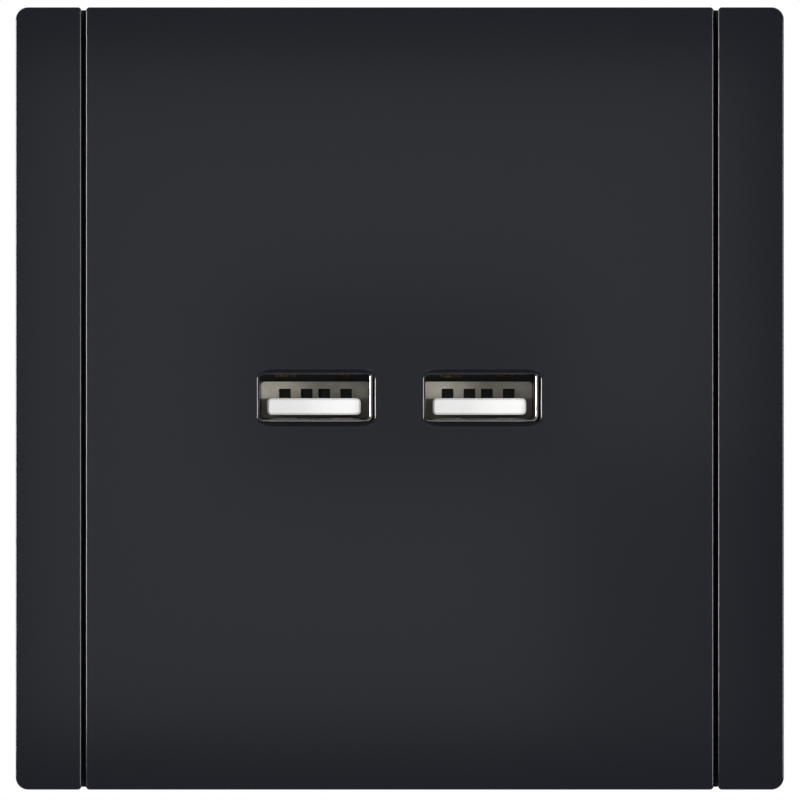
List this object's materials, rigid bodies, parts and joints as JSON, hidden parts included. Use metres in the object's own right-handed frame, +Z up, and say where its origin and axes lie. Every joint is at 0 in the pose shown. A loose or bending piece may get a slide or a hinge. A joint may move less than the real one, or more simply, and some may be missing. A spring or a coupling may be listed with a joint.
{
  "type": "usb wall socket",
  "caption": "Flush-mounted USB-A charging socket with a square satin black plate, grooved side rails, a steel support yoke and a charger housing behind it.",
  "frame": {"origin": "the middle of the plate on the face of the wall, which is the centre of the fixing screw pattern", "axes": "X right and Z up as the socket is seen on the wall, Y into the wall, so the front faces -Y"},
  "size_m": [0.086, 0.0314, 0.0876],
  "materials": {
    "front_plastic": "satin black moulded plastic with a very fine grain",
    "housing_plastic": "dull black moulded plastic",
    "galvanised_steel": "bright galvanised sheet steel",
    "screw_steel": "zinc-plated steel",
    "nickel_plate": "bright nickel-plated steel sheet",
    "white_plastic": "white moulded plastic",
    "contact_gilt": "gold-flashed copper alloy",
    "terminal_brass": "plain brass",
    "terminal_plastic": "dark grey moulded plastic",
    "board_laminate": "black lacquered laminate",
    "can_sleeve": "dark shrink sleeve",
    "disc_coating": "blue dipped coating",
    "choke_sleeve": "black shrink sleeve",
    "fuse_body": "brown moulded body",
    "ferrite": "dark grey ferrite",
    "bobbin_plastic": "black moulded bobbin",
    "winding_tape": "yellow polyester tape",
    "chip_epoxy": "black moulded epoxy"
  },
  "bodies": {
    "socket": {"surround_frame": "front_plastic", "centre_cover": "front_plastic", "support_yoke": "galvanised_steel", "front_housing": "housing_plastic", "rear_housing": "housing_plastic", "housing_screws": "screw_steel", "charger_board": "board_laminate", "terminal_block": "terminal_plastic", "input_capacitors": "can_sleeve", "output_capacitors": "can_sleeve", "safety_capacitor": "disc_coating", "input_choke": "choke_sleeve", "fuse": "fuse_body", "transformer_core": "ferrite", "transformer_bobbin": "bobbin_plastic", "transformer_winding": "winding_tape", "bridge_rectifier": "chip_epoxy", "controller_chip": "chip_epoxy", "output_diode": "chip_epoxy", "usb_shell_left": "nickel_plate", "usb_insulator_left": "white_plastic", "usb_contacts_left": "contact_gilt", "usb_shell_right": "nickel_plate", "usb_insulator_right": "white_plastic", "usb_contacts_right": "contact_gilt", "live_terminal_bar": "terminal_brass", "neutral_terminal_bar": "terminal_brass"},
    "live_screw": {"live_clamp_screw": "screw_steel"},
    "live_cage": {"live_clamp_cage": "galvanised_steel"},
    "neutral_screw": {"neutral_clamp_screw": "screw_steel"},
    "neutral_cage": {"neutral_clamp_cage": "galvanised_steel"}
  },
  "joints": [
    {"name": "live_screw_turn", "type": "hinge", "parent": "socket", "child": "live_screw", "pos_m": [-0.004, 0.0186, -0.01315], "axis": [0, -1, 0], "range_deg": [0, 2160]},
    {"name": "live_cage_rise", "type": "slide", "parent": "socket", "child": "live_cage", "axis": [0, 1, 0], "range_m": [0, 0.003]},
    {"name": "neutral_screw_turn", "type": "hinge", "parent": "socket", "child": "neutral_screw", "pos_m": [0.004, 0.0186, -0.01315], "axis": [0, -1, 0], "range_deg": [0, 2160]},
    {"name": "neutral_cage_rise", "type": "slide", "parent": "socket", "child": "neutral_cage", "axis": [0, 1, 0], "range_m": [0, 0.003]}
  ],
  "couplings": [
    {"joint": "live_screw_turn", "follows": "live_cage_rise", "rad_per_m": 12566},
    {"joint": "neutral_screw_turn", "follows": "neutral_cage_rise", "rad_per_m": 12566}
  ]
}
